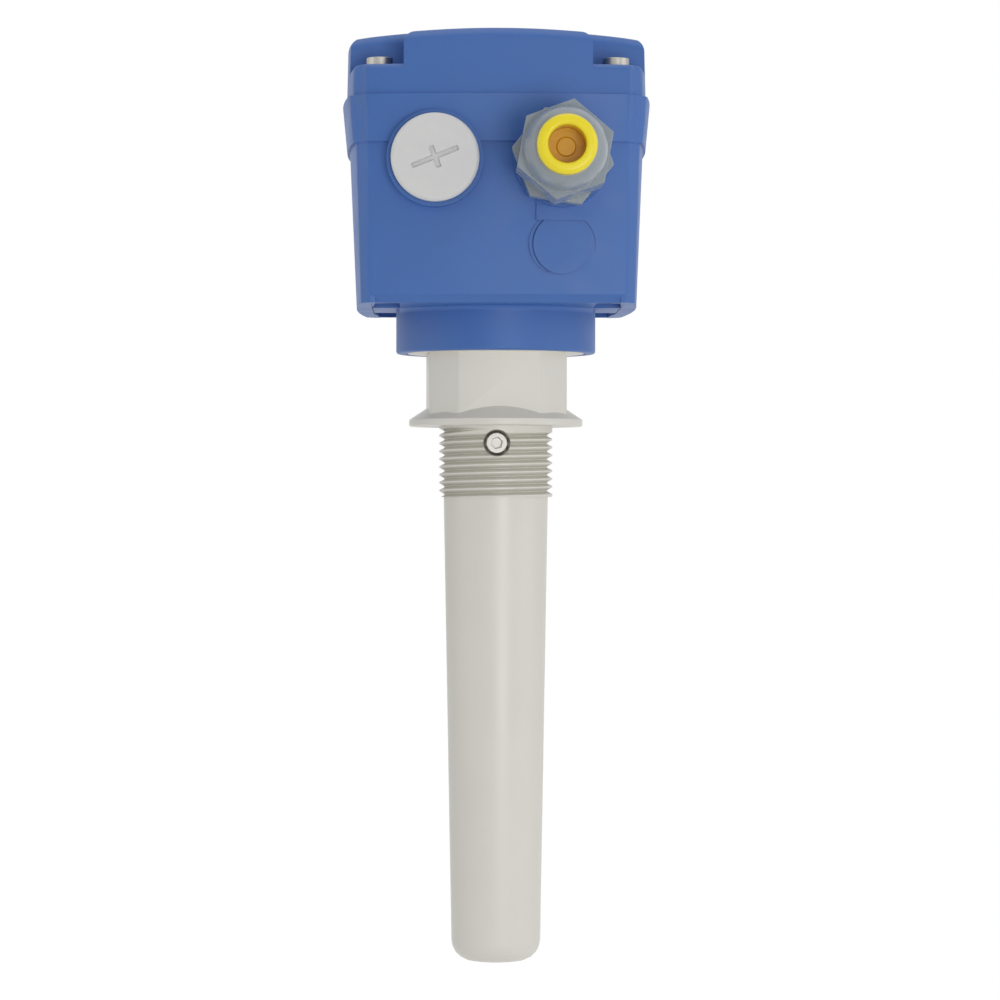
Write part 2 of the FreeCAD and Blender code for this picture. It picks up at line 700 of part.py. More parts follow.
# Lid: crowned cover with open corner pockets for its screws
def make_lid():
    body = new_body("lid")
    half = "lid_width / 2"
    loft(body, "Additive", "cover", "XY", [
        (PARTING, half, "body_corner"),
        (f"{PARTING} + lid_rise", "lid_width_top / 2", "body_corner"),
    ])
    apex = f"({PARTING} + lid_rise)"
    reach = "lid_width"
    drop = f"({apex} - lid_crown_radius + sqrt(lid_crown_radius ^ 2 - lid_width ^ 2))"
    crown = new_sketch(body, "crown_sketch", "XZ")
    outline(crown, [(reach, drop), (reach, f"{apex} + 5"), ("0", f"{apex} + 5"), ("0", apex)],
            {3: ("lid_crown_radius", -1)})
    add(body, "Groove", "crown", crown)
    inner = f"({half} - lid_pocket)"
    first = pocket(body, "screw_pocket", lambda s: rectangle(s, inner, inner, f"{half} + 5", f"{half} + 5"),
                   "XY", apex, f"{apex} - {POCKET_FLOOR}")
    around(body, "screw_pockets", [first])
    floor = number_of(POCKET_FLOOR)
    pocket_half = number_of(inner)
    soften(body, "Fillet", "crown_edges", "lid_edge_radius", lambda edge: crown_edge(edge, floor))
    soften(body, "Fillet", "pocket_edges", "lid_pocket_edge", lambda edge: floor_edge(edge, floor, pocket_half))
    wall = "lid_wall"
    reach = f"({half} - {wall})"
    notch = f"({half} - lid_pocket - {wall})"
    cross = []
    for sign_x, sign_y in ((1, -1), (1, 1), (-1, 1), (-1, -1)):
        side = (f"{sign_x} * {reach}", f"{sign_y} * {notch}")
        root = (f"{sign_x} * {notch}", f"{sign_y} * {notch}")
        end = (f"{sign_x} * {notch}", f"{sign_y} * {reach}")
        cross += [end, root, side] if sign_x * sign_y < 0 else [side, root, end]
    pocket(body, "cavity", lambda s: outline(s, cross), "XY", PARTING, "lid_cavity", True)
    hole = pocket(body, "screw_hole", lambda s: circle(
        s, "lid_screw_pitch / 2", "lid_screw_pitch / 2", "lid_screw_shank / 2 + seat_gap"),
        "XY", apex, f"{apex} - {PARTING}")
    around(body, "screw_holes", [hole])
    tongue = "groove_depth - gasket_height"
    draw_rim_ring(body, "tongue", "gasket_width", f"{PARTING} - ({tongue})", tongue)


def crown_edge(edge, floor):
    """Rule for the edges of the crowned top, which all lie above the pockets' floor."""
    if edge.Degenerated or edge.Curve.TypeId == "Part::GeomLine":
        return False
    return edge.BoundBox.ZMin > floor + 2


def floor_edge(edge, floor, inner):
    """Rule for the outer edges of a corner pocket's floor."""
    box = edge.BoundBox
    if abs(box.ZMin - floor) > 1e-4 or abs(box.ZMax - floor) > 1e-4:
        return False
    middle = edge.CenterOfMass
    return max(abs(middle.x), abs(middle.y)) > inner + 12


def make_lid_screws():
    body = new_body("lid_screws")
    spot = ("lid_screw_pitch / 2", "lid_screw_pitch / 2")
    head = pad(body, "screw_head", lambda s: circle(s, *spot, "lid_screw_head / 2"), "XY",
               POCKET_FLOOR, "lid_screw_head_height")
    shank = pad(body, "screw_shank", lambda s: circle(s, *spot, "lid_screw_shank / 2"), "XY",
                POCKET_FLOOR, "lid_screw_length", True)
    slots = []
    for name, long_x, long_y in (("slot_across", 2.2, 0.5), ("slot_along", 0.5, 2.2)):
        centre = "lid_screw_pitch / 2"
        slots.append(pocket(body, name, lambda s: rectangle(
            s, f"{centre} - {long_x}", f"{centre} - {long_y}", f"{centre} + {long_x}",
            f"{centre} + {long_y}"), "XY", f"{POCKET_FLOOR} + lid_screw_head_height",
            "lid_screw_head_height / 2"))
    around(body, "screws", [head, shank] + slots)


# Electronics on a board above the neck
def make_board():
    body = new_body("circuit_board")
    sketch = new_sketch(body, "board_outline", "XY", BOARD)
    rounded_square(sketch, "board_length / 2", "board_thickness", "board_depth / 2")
    add(body, "Pad", "board", sketch, "board_thickness")
    spot = ("standoff_pitch / 2", "standoff_pitch / 2")
    hole = pocket(body, "board_hole", lambda s: circle(s, *spot, "board_screw_dia / 2 + seat_gap"),
                  "XY", BOARD_TOP, "board_thickness")
    around(body, "board_holes", [hole])

    body = new_body("board_screws")
    head = pad(body, "board_screw_head", lambda s: circle(s, *spot, "board_screw_head / 2"), "XY",
               BOARD_TOP, "board_screw_dia * 0.7")
    shank = pad(body, "board_screw_shank", lambda s: circle(s, *spot, "board_screw_dia / 2"), "XY",
                BOARD_TOP, "board_thickness + standoff_height / 2 - 1", True)
    around(body, "board_screw_set", [head, shank])

    turned("probe_socket", [
        ("spigot_dia / 2 + fit_gap + skirt_wall + running_gap", f"{BOARD} - socket_depth"),
        ("socket_dia / 2", f"{BOARD} - socket_depth"),
        ("socket_dia / 2", BOARD),
        ("0", BOARD),
        ("0", f"{BOARD} - 1 + seat_gap"),
        ("spigot_dia / 2 + fit_gap + skirt_wall + running_gap", f"{BOARD} - 1 + seat_gap"),
    ])


def block(name, x, y, z, length, depth, height):
    """Upright block centred on a spot of the board."""
    body = new_body(name)
    pad(body, f"{name}_block", lambda s: rectangle(
        s, f"-({length}) / 2", f"-({depth}) / 2", f"({length}) / 2", f"({depth}) / 2"), "XY", "0", height)
    place(body, x, y, z)
    return body


def make_electronics():
    poles = 6
    row = f"terminal_pitch * {poles}"
    first = f"-terminal_pitch * {(poles - 1) / 2}"
    middle = "terminal_back - terminal_depth / 2"
    body = block("terminal_block", "0", middle, BOARD_TOP, row, "terminal_depth", "terminal_height")
    well = pocket(body, "screw_well", lambda s: circle(s, first, "0", "terminal_screw_dia / 2 + seat_gap"),
                  "XY", "terminal_height", "terminal_height / 3")
    entry = pocket(body, "wire_entry", lambda s: rectangle(
        s, f"{first} - terminal_pitch / 3", "terminal_height / 8", f"{first} + terminal_pitch / 3",
        "terminal_height / 2"), "XZ", "terminal_depth / 2", "terminal_depth / 2")
    along(body, "poles", [well, entry], f"terminal_pitch * {poles - 1}", poles)

    body = new_body("terminal_screws")
    head = pad(body, "clamp_screw", lambda s: circle(s, first, "0", "terminal_screw_dia / 2"), "XY",
               "terminal_height * 2 / 3", "terminal_height / 5")
    slot = pocket(body, "clamp_slot", lambda s: rectangle(
        s, f"{first} - terminal_screw_dia / 2", "-0.4", f"{first} + terminal_screw_dia / 2", "0.4"),
        "XY", "terminal_height * 13 / 15", "terminal_height / 12")
    along(body, "clamp_screws", [head, slot], f"terminal_pitch * {poles - 1}", poles)
    place(body, "0", middle, BOARD_TOP)

    relay = block("relay", "-board_length / 4", "-board_depth / 4", BOARD_TOP, "relay_length",
                  "relay_depth", "relay_height")
    soften(relay, "Chamfer", "relay_edges", "0.6", upright)

    radius = "capacitor_dia / 2"
    place(turned("capacitor", [
        ("0", "0"),
        (radius, "0"),
        (radius, "capacitor_height * 0.1"),
        (f"{radius} * 0.9", "capacitor_height * 0.16"),
        (radius, "capacitor_height * 0.22"),
        (radius, "capacitor_height - 0.5"),
        (f"{radius} - 0.5", "capacitor_height"),
        ("0", "capacitor_height"),
    ]), "0", "-board_depth / 4", BOARD_TOP)

    place(turned("indicator_led", [
        ("0", "0"),
        ("led_dia / 2 + 0.4", "0"),
        ("led_dia / 2 + 0.4", "0.8"),
        ("led_dia / 2", "0.8"),
        ("led_dia / 2", "led_dia"),
        ("0", "led_dia * 1.5"),
    ], {4: ("led_dia / 2", 1)}), "board_length * 0.12", "-board_depth * 0.38", BOARD_TOP)

    spot = ("board_length * 0.27", "-board_depth * 0.18")
    body = block("trimmer_body", *spot, BOARD_TOP, "trimmer_width", "trimmer_width", "trimmer_height")
    pocket(body, "rotor_well", lambda s: circle(s, "0", "0", "trimmer_rotor_dia / 2 + running_gap"),
           "XY", "trimmer_height", "trimmer_height / 2")
    rotor = turned("trimmer_rotor", [
        ("0", "trimmer_height / 2"),
        ("trimmer_rotor_dia / 2", "trimmer_height / 2"),
        ("trimmer_rotor_dia / 2", "trimmer_height + 0.8"),
        ("trimmer_rotor_dia / 2 - 0.4", "trimmer_height + 1.2"),
        ("0", "trimmer_height + 1.2"),
    ])
    pocket(rotor, "rotor_slot", lambda s: rectangle(
        s, "-trimmer_rotor_dia / 2 + 0.8", "-0.45", "trimmer_rotor_dia / 2 - 0.4", "0.45"),
        "XY", "trimmer_height + 1.2", "1")
    place(rotor, *spot, BOARD_TOP)

    spot = ("standoff_pitch / 2 - board_screw_head / 2 - selector_length / 2 - 1.5", "-board_depth * 0.4")
    body = block("selector_body", *spot, BOARD_TOP, "selector_length", "selector_width", "selector_height")
    knob = "selector_width / 4"
    pocket(body, "slider_slot", lambda s: rectangle(
        s, f"-{knob} - selector_travel / 2 - running_gap", f"-{knob} - running_gap",
        f"{knob} + selector_travel / 2 + running_gap", f"{knob} + running_gap"),
        "XY", "selector_height", "selector_height / 2")
    slider = new_body("selector_slider")
    pad(slider, "slider_knob", lambda s: rectangle(
        s, f"-{knob} - selector_travel / 2", f"-{knob}", f"{knob} - selector_travel / 2", knob),
        "XY", "selector_height / 2", "selector_height / 2 + selector_travel * 0.8")
    place(slider, *spot, BOARD_TOP)


# Front pieces are drawn with Z pointing out of the entry and then turned to face -Y
def make_blanking_plug():
    back = f"({BOSS_FACE} + port_seal_thick)"
    front = f"({back} + plug_head_height)"
    radius = "plug_head_dia / 2"
    thread = "port_dia / 2 - fit_gap"
    inner = f"{BOSS_FACE} - plug_thread_length"
    body = turned("blanking_plug", [
        (f"{thread} - plug_wall", inner),
        (thread, inner),
        (thread, back),
        (radius, back),
        (radius, f"{front} - plug_chamfer"),
        (f"{radius} - plug_chamfer", front),
        ("0", front),
        ("0", f"{back} - plug_wall"),
        (f"{thread} - plug_wall", f"{back} - plug_wall"),
    ])
    for name, length, turn in (("long_slot", "plug_slot_length", "plug_slot_turn"),
                               ("cross_slot", "plug_cross_length", "(plug_slot_turn + 90)")):
        points = []
        for sign_l, sign_w in ((-1, -1), (1, -1), (1, 1), (-1, 1)):
            x = f"({sign_l} * {length} / 2)"
            y = f"({sign_w} * plug_slot_width / 2)"
            points.append((f"{x} * cos({turn}) - {y} * sin({turn})",
                           f"{x} * sin({turn}) + {y} * cos({turn})"))
        pocket(body, name, lambda s: outline(s, points), "XY", front, "plug_slot_depth")
    seal = seal_ring("plug_o_ring", "port_seal_dia / 2", "port_seal_thick / 2 - 0.01",
                     f"{BOSS_FACE} + port_seal_thick / 2")
    for item in (body, seal):
        place(item, "-port_spacing / 2", "0", PORT_Z, FRONT)


def make_gland():
    back = f"({BOSS_FACE} + port_seal_thick)"
    hex_front = f"({back} + gland_hex_height)"
    thread_end = f"({hex_front} + gland_thread_length)"
    inner = f"{BOSS_FACE} - plug_thread_length"
    bore = "gland_bore_dia / 2"
    seat = f"({hex_front} + 2)"
    cage_seat = "cage_dia / 2 + fit_gap"
    body = turned("gland_body", [
        (bore, inner),
        ("port_dia / 2 - fit_gap", inner),
        ("port_dia / 2 - fit_gap", f"{back} + gland_hex_height / 2"),
        ("gland_thread_dia / 2", f"{back} + gland_hex_height / 2"),
        ("gland_thread_dia / 2", thread_end),
        (cage_seat, thread_end),
        (cage_seat, seat),
        (bore, seat),
    ])
    hexa = new_sketch(body, "gland_hex_sketch", "XY", back)
    hexagon(hexa, "gland_hex_across", "gland_hex_turn")
    circle(hexa, "0", "0", f"{bore} + 1")
    add(body, "Pad", "gland_hex", hexa, "gland_hex_height")

    cage = tube("gland_cage", "cage_dia / 2 - cage_wall", "cage_dia / 2", seat, f"{seat} + cage_length")
    slit = pocket(cage, "cage_slit", lambda s: rectangle(
        s, "cage_dia / 2 - cage_wall - 1", "-cage_slot / 2", "cage_dia / 2 + 1", "cage_slot / 2"),
        "XY", f"{seat} + cage_length", "cage_length * 0.6")
    around(cage, "cage_slits", [slit], 8)
    seal = tube("gland_seal", "seal_bore_dia / 2", "cage_dia / 2 - cage_wall - fit_gap", seat,
                f"{seat} + cage_length")

    nut_low = f"({hex_front} + seat_gap)"
    nut_high = f"({nut_low} + nut_length)"
    hex_high = f"({nut_low} + nut_hex_height)"
    nut_bore = "gland_thread_dia / 2 + running_gap"
    nut = turned("gland_nut", [
        (nut_bore, nut_low),
        ("nut_dome_dia / 2", nut_low),
        ("nut_dome_dia / 2", hex_high),
        ("nut_front_dia / 2", f"{nut_high} - 1"),
        ("nut_front_dia / 2 - 1", nut_high),
        ("nut_mouth_dia / 2", nut_high),
        ("nut_mouth_dia / 2", f"{nut_high} - 2"),
        ("cage_dia / 2 + seat_gap", f"{seat} + cage_length + seat_gap"),
        (nut_bore, f"{thread_end} + seat_gap"),
    ], {2: (f"nut_length * 1.1", 1)})
    hexa = new_sketch(nut, "nut_hex_sketch", "XY", nut_low)
    hexagon(hexa, "nut_hex_across", "nut_hex_turn")
    circle(hexa, "0", "0", f"{nut_bore} + 0.3")
    add(nut, "Pad", "nut_hex", hexa, "nut_hex_height")

    head_back = f"({nut_high} + seat_gap)"
    head_front = f"({head_back} + stopper_head_height)"
    neck_low = f"({seat} + cage_length + seat_gap)"
    head = "stopper_head_dia / 2"
    rim = "stopper_head_height / 3"
    hole = "stopper_hole_dia / 2"
    bottom = f"({head_front} - stopper_hole_depth)"
    stopper = turned("dust_plug", [
        ("0", f"{neck_low} - stopper_stem_length + 1"),
        ("stopper_stem_dia / 2 - 1", f"{neck_low} - stopper_stem_length + 1"),
        ("stopper_stem_dia / 2", f"{neck_low} - stopper_stem_length + 3"),
        ("stopper_stem_dia / 2", neck_low),
        ("stopper_neck_dia / 2", neck_low),
        ("stopper_neck_dia / 2", head_back),
        (head, head_back),
        (head, f"{head_front} - {rim}"),
        (f"{head} - {rim}", head_front),
        (f"{hole} + 0.5", head_front),
        (hole, f"{head_front} - 0.5"),
        (hole, bottom),
        ("stopper_hole_dia / 4", bottom),
        ("stopper_hole_dia / 4", f"{bottom} + 0.6"),
        ("0", f"{bottom} + 0.6"),
    ], {7: (rim, 1)})
    ring = seal_ring("gland_o_ring", "port_seal_dia / 2", "port_seal_thick / 2 - 0.01",
                     f"{BOSS_FACE} + port_seal_thick / 2")
    for item in (body, cage, seal, nut, stopper, ring):
        place(item, "port_spacing / 2", "0", PORT_Z, FRONT)


make_probe_body()
make_connection_pieces()
make_housing()
make_lid_joint()
make_lid()
make_lid_screws()
make_board()
make_electronics()
make_blanking_plug()
make_gland()
doc.recompute()

for item in doc.Objects:
    if "Invalid" in item.State or "Error" in item.State:
        raise RuntimeError(f"{item.Label} failed: {item.State}")
os.makedirs("parts", exist_ok=True)
for body in parts:
    shape = body.Shape
    if shape.isNull() or not shape.isValid() or not shape.Solids:
        raise RuntimeError(f"{body.Label} has no sound shape")
    shape.exportStep(f"parts/{body.Label}.step")
    box = shape.BoundBox
    print(f"{body.Label}: {len(shape.Solids)} solid, {shape.Volume:.1f} mm3, "
          f"z {box.ZMin:.1f} to {box.ZMax:.1f}")
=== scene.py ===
# %% [markdown]
# # A capacitive level probe
#
# The object is a level switch for a tank. Its blue plastic head holds a circuit board and has two cable
# entries in front. Below it, one off-white moulding is flange, pipe thread and probe tube.
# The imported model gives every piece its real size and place, in metres, with Z up and the entries to -Y.
# This lesson gives the pieces their finish, their fine edges, the crown of the head and the pipe thread.

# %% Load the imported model
import bpy
import bmesh
import json
import math
from mathutils import Matrix, Vector


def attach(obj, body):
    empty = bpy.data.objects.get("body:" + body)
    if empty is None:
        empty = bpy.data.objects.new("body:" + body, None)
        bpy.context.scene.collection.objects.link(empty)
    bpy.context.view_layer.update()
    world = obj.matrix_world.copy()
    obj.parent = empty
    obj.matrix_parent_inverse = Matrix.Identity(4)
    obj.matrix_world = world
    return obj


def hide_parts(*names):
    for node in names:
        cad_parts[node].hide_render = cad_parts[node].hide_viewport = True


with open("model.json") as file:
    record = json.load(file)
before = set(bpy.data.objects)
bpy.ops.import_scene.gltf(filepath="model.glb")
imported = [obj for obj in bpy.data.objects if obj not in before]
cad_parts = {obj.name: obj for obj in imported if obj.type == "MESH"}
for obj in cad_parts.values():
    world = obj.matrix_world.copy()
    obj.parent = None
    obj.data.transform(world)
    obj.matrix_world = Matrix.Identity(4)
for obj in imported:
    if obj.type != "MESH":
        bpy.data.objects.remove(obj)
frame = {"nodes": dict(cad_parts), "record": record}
nodes = frame["nodes"]
scene = bpy.context.scene
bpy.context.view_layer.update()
mm = 0.001

# %% [markdown]
# ## The camera
#
# A product photograph like this one is taken from about a metre away with a long lens, so the sides of the
# head hardly taper. The camera stands level with the upper part of the tube and a little to the left,
# which is why the head's underside is seen from below.

# %% Place the camera
CAMERA_AT = Vector((-0.0170, -0.9499, -0.0216))
CAMERA_AIM = Vector((0.0192, 0.9998, 0.0))
SENSOR = 36.0
FOCAL_PIXELS = 3231
IMAGE_PIXELS = 1000

camera_data = bpy.data.cameras.new("camera")
camera_data.sensor_width = SENSOR
camera_data.lens = SENSOR * FOCAL_PIXELS / IMAGE_PIXELS
camera = bpy.data.objects.new("camera", camera_data)
scene.collection.objects.link(camera)
camera.location = CAMERA_AT
camera.rotation_euler = CAMERA_AIM.to_track_quat("-Z", "Y").to_euler()
scene.camera = camera
scene.view_settings.view_transform = "Standard"
print("camera at", [round(v, 4) for v in camera.location], "lens", round(camera_data.lens, 1), "mm")

# %% [markdown]
# ## Two helpers for node trees
#
# Colours are picked as sRGB hex values, as any paint program shows them, but a shader works in linear light.
# One function does that change. The other adds a node, sets it up and links it, so a material reads as a
# list of what it is made of.

# %% Colour and node helpers
def linear(code):
    """Linear colour of an sRGB hex value."""
    values = [int(code[place:place + 2], 16) / 255 for place in (0, 2, 4)]
    values = [v / 12.92 if v <= 0.04045 else ((v + 0.055) / 1.055) ** 2.4 for v in values]
    return values + [1.0]


def add_node(tree, kind, inputs=None, **settings):
    """Add a node; an input is given a value, or a socket to be linked to."""
    node = tree.nodes.new(kind)
    for name, value in settings.items():
        setattr(node, name, value)
    for key, value in (inputs or {}).items():
        if isinstance(value, bpy.types.NodeSocket):
            tree.links.new(value, node.inputs[key])
        else:
            node.inputs[key].default_value = value
    return node


def per_mm(size):
    """Texture scale whose features are about this many millimetres apart."""
    return 1 / (size * mm)


print("housing blue in linear light:", [round(v, 3) for v in linear("3F6CB2")])

# %% [markdown]
# ## Light, backdrop and floor
#
# The studio is a white tent: even light from all round, and one large softbox low on the right, which the
# cable gland's soft shadow up and to the left gives away. The world is plain white where the camera or a
# reflection sees it, and a calmer level where it lights the object, so no pale surface clips.
# The floor is white too. Most of what the camera sees of it is its own glow, and the rest is lit, so a soft
# shadow stays.

# %% Build the studio
AMBIENT = 0.42
SOFTBOXES = {
    # name: (azimuth from the front to the right, elevation, distance, width, light level)
    "key": (14, -8, 1.0, 0.34, 0.24),
    "left_wall": (-74, 8, 1.0, 0.8, 0.13),
    "right_wall": (70, 6, 1.0, 0.8, 0.19),
    "top": (0, 80, 1.0, 0.8, 0.22),
    "from_below": (0, -44, 1.0, 0.5, 0.46),
}
FLOOR_LEVEL = -0.42
FLOOR_GLOW = 0.90
FLOOR_WHITE = 0.26


def seen_rays(tree):
    """One where the camera looks, straight, in a reflection or through a clear piece, and zero elsewhere."""
    rays = add_node(tree, "ShaderNodeLightPath").outputs
    seen = rays["Is Camera Ray"]
    for title in ("Is Glossy Ray", "Is Transmission Ray"):
        seen = add_node(tree, "ShaderNodeMath", {0: seen, 1: rays[title]}, operation="MAXIMUM").outputs[0]
    return seen


world = bpy.data.worlds.new("tent")
world.use_nodes = True
world.node_tree.nodes.clear()
tree = world.node_tree
level = add_node(tree, "ShaderNodeMapRange", {0: seen_rays(tree), 3: AMBIENT, 4: 1.0})
air = add_node(tree, "ShaderNodeBackground", {"Color": (1, 1, 1, 1), "Strength": level.outputs[0]})
add_node(tree, "ShaderNodeOutputWorld", {"Surface": air.outputs[0]})
scene.world = world


def softbox(name, azimuth, elevation, distance, width, share):
    """Square lamp that adds this share of full light to a surface that faces it."""
    turn, lift = math.radians(azimuth), math.radians(elevation)
    way = Vector((math.sin(turn) * math.cos(lift), -math.cos(turn) * math.cos(lift), math.sin(lift)))
    lamp = bpy.data.lights.new(name, "AREA")
    lamp.shape = "SQUARE"
    lamp.size = width
    lamp.energy = share * (math.pi * distance) ** 2
    item = bpy.data.objects.new(name, lamp)
    item.location = Vector((0, 0, 0.03)) + way * distance
    item.rotation_euler = (-way).to_track_quat("-Z", "Y").to_euler()
    item.visible_camera = False
    scene.collection.objects.link(item)
    return item


for name, facts in SOFTBOXES.items():
    softbox(name, *facts)

bpy.ops.mesh.primitive_grid_add(x_subdivisions=4, y_subdivisions=4, size=24, location=(0, 0, FLOOR_LEVEL))
floor = bpy.context.object
floor.name = "studio_floor"
paper = bpy.data.materials.new("white_backdrop_paper")
paper.use_nodes = True
paper.node_tree.nodes.clear()
tree = paper.node_tree
matt = add_node(tree, "ShaderNodeBsdfDiffuse", {"Color": linear("F2F2F2")})
shaded = add_node(tree, "ShaderNodeBsdfDiffuse", {"Color": (FLOOR_WHITE, FLOOR_WHITE, FLOOR_WHITE, 1)})
glow = add_node(tree, "ShaderNodeEmission", {"Color": (1, 1, 1, 1), "Strength": FLOOR_GLOW})
lit = add_node(tree, "ShaderNodeAddShader", {0: shaded.outputs[0], 1: glow.outputs[0]})
blend = add_node(tree, "ShaderNodeMixShader", {0: seen_rays(tree), 1: matt.outputs[0], 2: lit.outputs[0]})
add_node(tree, "ShaderNodeOutputMaterial", {"Surface": blend.outputs[0]})
floor.data.materials.append(paper)
print(len(SOFTBOXES), "softboxes, floor at", FLOOR_LEVEL, "m")

# %% [markdown]
# ## Moulded plastics
#
# Nearly all that shows is injection moulded. Such a surface copies the steel of its mould: a fine spark-eroded
# grain that scatters the light, and hardly any colour change apart from a faint clouding where the melt
# cooled. The true grain is about 0.05 mm and would vanish at this distance, so it is drawn some ten times
# as coarse and very shallow. Colour, grain and gloss are then set for each plastic, and the roots of the
# thread and the deep bore of the stopper get painted shade.

# %% Make the plastics
def new_material(name):
    """Empty node material, with its tree and the coordinates that stay with the piece."""
    material = bpy.data.materials.new(name)
    material.use_nodes = True
    material.node_tree.nodes.clear()
    tree = material.node_tree
    place = add_node(tree, "ShaderNodeTexCoord").outputs["Object"]
    return material, tree, place


def moulded(name, colour, shade, gloss, grain=0.5, depth=0.004, cloud=9.0, painted_shade=None, **shader):
    """Moulded plastic: clouded colour, with painted shade if the plastic is given it, uneven gloss and a shallow
    grain.
    """
    material, tree, place = new_material(name)
    clouds = add_node(tree, "ShaderNodeTexNoise", {"Vector": place, "Scale": per_mm(cloud), "Detail": 3.0})
    tint = add_node(tree, "ShaderNodeMix", {0: clouds.outputs[0], 6: linear(shade), 7: linear(colour)},
                    data_type="RGBA")
    # painted shade from a function given for this plastic
    if painted_shade:
        tint = painted_shade(tree, place, tint.outputs[2])
    fine = add_node(tree, "ShaderNodeTexNoise", {"Vector": place, "Scale": per_mm(grain), "Detail": 2.0})
    rough = add_node(tree, "ShaderNodeMapRange",
                     {0: clouds.outputs[0], 1: 0.3, 2: 0.7, 3: gloss - 0.04, 4: gloss + 0.05})
    relief = add_node(tree, "ShaderNodeBump",
                      {"Height": fine.outputs[0], "Strength": 0.5, "Distance": depth * mm})
    skin = add_node(tree, "ShaderNodeBsdfPrincipled",
                    {"Base Color": tint.outputs[2], "Roughness": rough.outputs[0],
                     "Normal": relief.outputs[0], "IOR": 1.5, **shader})
    add_node(tree, "ShaderNodeOutputMaterial", {"Surface": skin.outputs[0]})
    return material


def thread_root_shade(tree, place, colour):
    """Painted shade: a little grey in the roots of the thread, and none on its crests or on the tube."""
    parts = add_node(tree, "ShaderNodeSeparateXYZ", {0: place})
    flat = add_node(tree, "ShaderNodeCombineXYZ", {0: parts.outputs[0], 1: parts.outputs[1]})
    radius = add_node(tree, "ShaderNodeVectorMath", {0: flat.outputs[0]}, operation="LENGTH")
    depth = add_node(tree, "ShaderNodeMapRange",
                     {0: radius.outputs["Value"], 1: 15.2 * mm, 2: 16.5 * mm, 3: 1.0, 4: 0.0})
    above = add_node(tree, "ShaderNodeMath", {0: parts.outputs[2], 1: -20.7 * mm}, operation="GREATER_THAN")
    below = add_node(tree, "ShaderNodeMath", {0: parts.outputs[2], 1: 0.0}, operation="LESS_THAN")
    inside = add_node(tree, "ShaderNodeMath", {0: above.outputs[0], 1: below.outputs[0]},
                      operation="MULTIPLY")
    amount = add_node(tree, "ShaderNodeMath", {0: inside.outputs[0], 1: depth.outputs[0]},
                      operation="MULTIPLY")
    # painted shade: the roots of the thread are mixed towards a darker grey
    return add_node(tree, "ShaderNodeMix", {0: amount.outputs[0], 6: colour, 7: linear("C2BFB4")},
                    data_type="RGBA")


def stopper_bore_shade(tree, place, colour):
    """Painted shade: the deep bore of the stopper turns a darker amber towards its bottom."""
    parts = add_node(tree, "ShaderNodeSeparateXYZ", {0: place})
    depth = add_node(tree, "ShaderNodeMapRange",
                     {0: parts.outputs[1], 1: -82.0 * mm, 2: -76.0 * mm, 3: 0.0, 4: 1.0})
    # painted shade: the bore is mixed towards a darker amber with its depth
    return add_node(tree, "ShaderNodeMix", {0: depth.outputs[0], 6: colour, 7: linear("DDAA20")},
                    data_type="RGBA")


plastics = {
    # Glass-filled polyester, for the whole head
    "housing_plastic": moulded("polyester_blue_moulded", "3F6CB2", "3A64A8", 0.48),
    # Off-white polypropylene, with a slight warm clouding along the tube and painted shade in the roots of the
    # thread
    "probe_plastic": moulded("polypropylene_off_white", "E2DFD5", "DAD8D0", 0.38, cloud=22.0,
                              painted_shade=thread_root_shade),
    "plug_plastic": moulded("polyamide_pale_grey", "DCDCDB", "D5D5D5", 0.40, cloud=5.0),
    # Polyamide has a smoother, wetter look than the head
    "gland_plastic": moulded("polyamide_grey", "929CA4", "8A939B", 0.26, grain=0.8, depth=0.003, cloud=5.0),
    # Soft polyethylene, with painted shade in the deep bore of the stopper
    "stopper_plastic": moulded("polyethylene_yellow", "F5E41B", "EFDA14", 0.30, grain=0.8, cloud=4.0,
                                painted_shade=stopper_bore_shade),
    "core_plastic": moulded("acetal_natural_white", "EDEDE8", "E6E6E0", 0.34, cloud=6.0),
    "terminal_plastic": moulded("polyamide_green", "4F8F62", "47845A", 0.36, cloud=4.0),
    "relay_plastic": moulded("polyester_black", "1D1D1F", "17171A", 0.38, cloud=4.0),
    "trimmer_plastic": moulded("polyester_trimmer_blue", "2A57B0", "234B9C", 0.32, cloud=3.0),
    "led_resin": moulded("epoxy_red_diffused", "D0241C", "B81C16", 0.12, grain=1.5, depth=0.001, cloud=2.0),
}
print(len(plastics), "plastics")

# %% [markdown]
# ## Metals, rubber and laminate
#
# Screws and sleeves are turned or drawn, which leaves fine lines that spread the light in one direction.
# Rubber seals are moulded and dusty. The board is glass cloth in epoxy with copper tracks that show as
# lighter green lines under the solder resist.

# %% Make the metals, the rubber and the laminate
def turned_metal(name, colour, shade, gloss, line=0.25):
    """Bright metal with fine lines across its length and small changes in gloss."""
    material, tree, place = new_material(name)
    clouds = add_node(tree, "ShaderNodeTexNoise", {"Vector": place, "Scale": per_mm(3.0), "Detail": 4.0})
    lines = add_node(tree, "ShaderNodeTexWave",
                     {"Vector": place, "Scale": per_mm(line) / 20, "Distortion": 2.0, "Detail": 3.0},
                     bands_direction="Z")
    tint = add_node(tree, "ShaderNodeMix", {0: clouds.outputs[0], 6: linear(shade), 7: linear(colour)},
                    data_type="RGBA")
    rough = add_node(tree, "ShaderNodeMapRange",
                     {0: clouds.outputs[0], 1: 0.3, 2: 0.7, 3: gloss - 0.06, 4: gloss + 0.08})
    relief = add_node(tree, "ShaderNodeBump",
                      {"Height": lines.outputs[1], "Strength": 0.4, "Distance": 0.004 * mm})
    skin = add_node(tree, "ShaderNodeBsdfPrincipled",
                    {"Base Color": tint.outputs[2], "Roughness": rough.outputs[0], "Metallic": 1.0,
                     "Normal": relief.outputs[0]})
    add_node(tree, "ShaderNodeOutputMaterial", {"Surface": skin.outputs[0]})
    return material


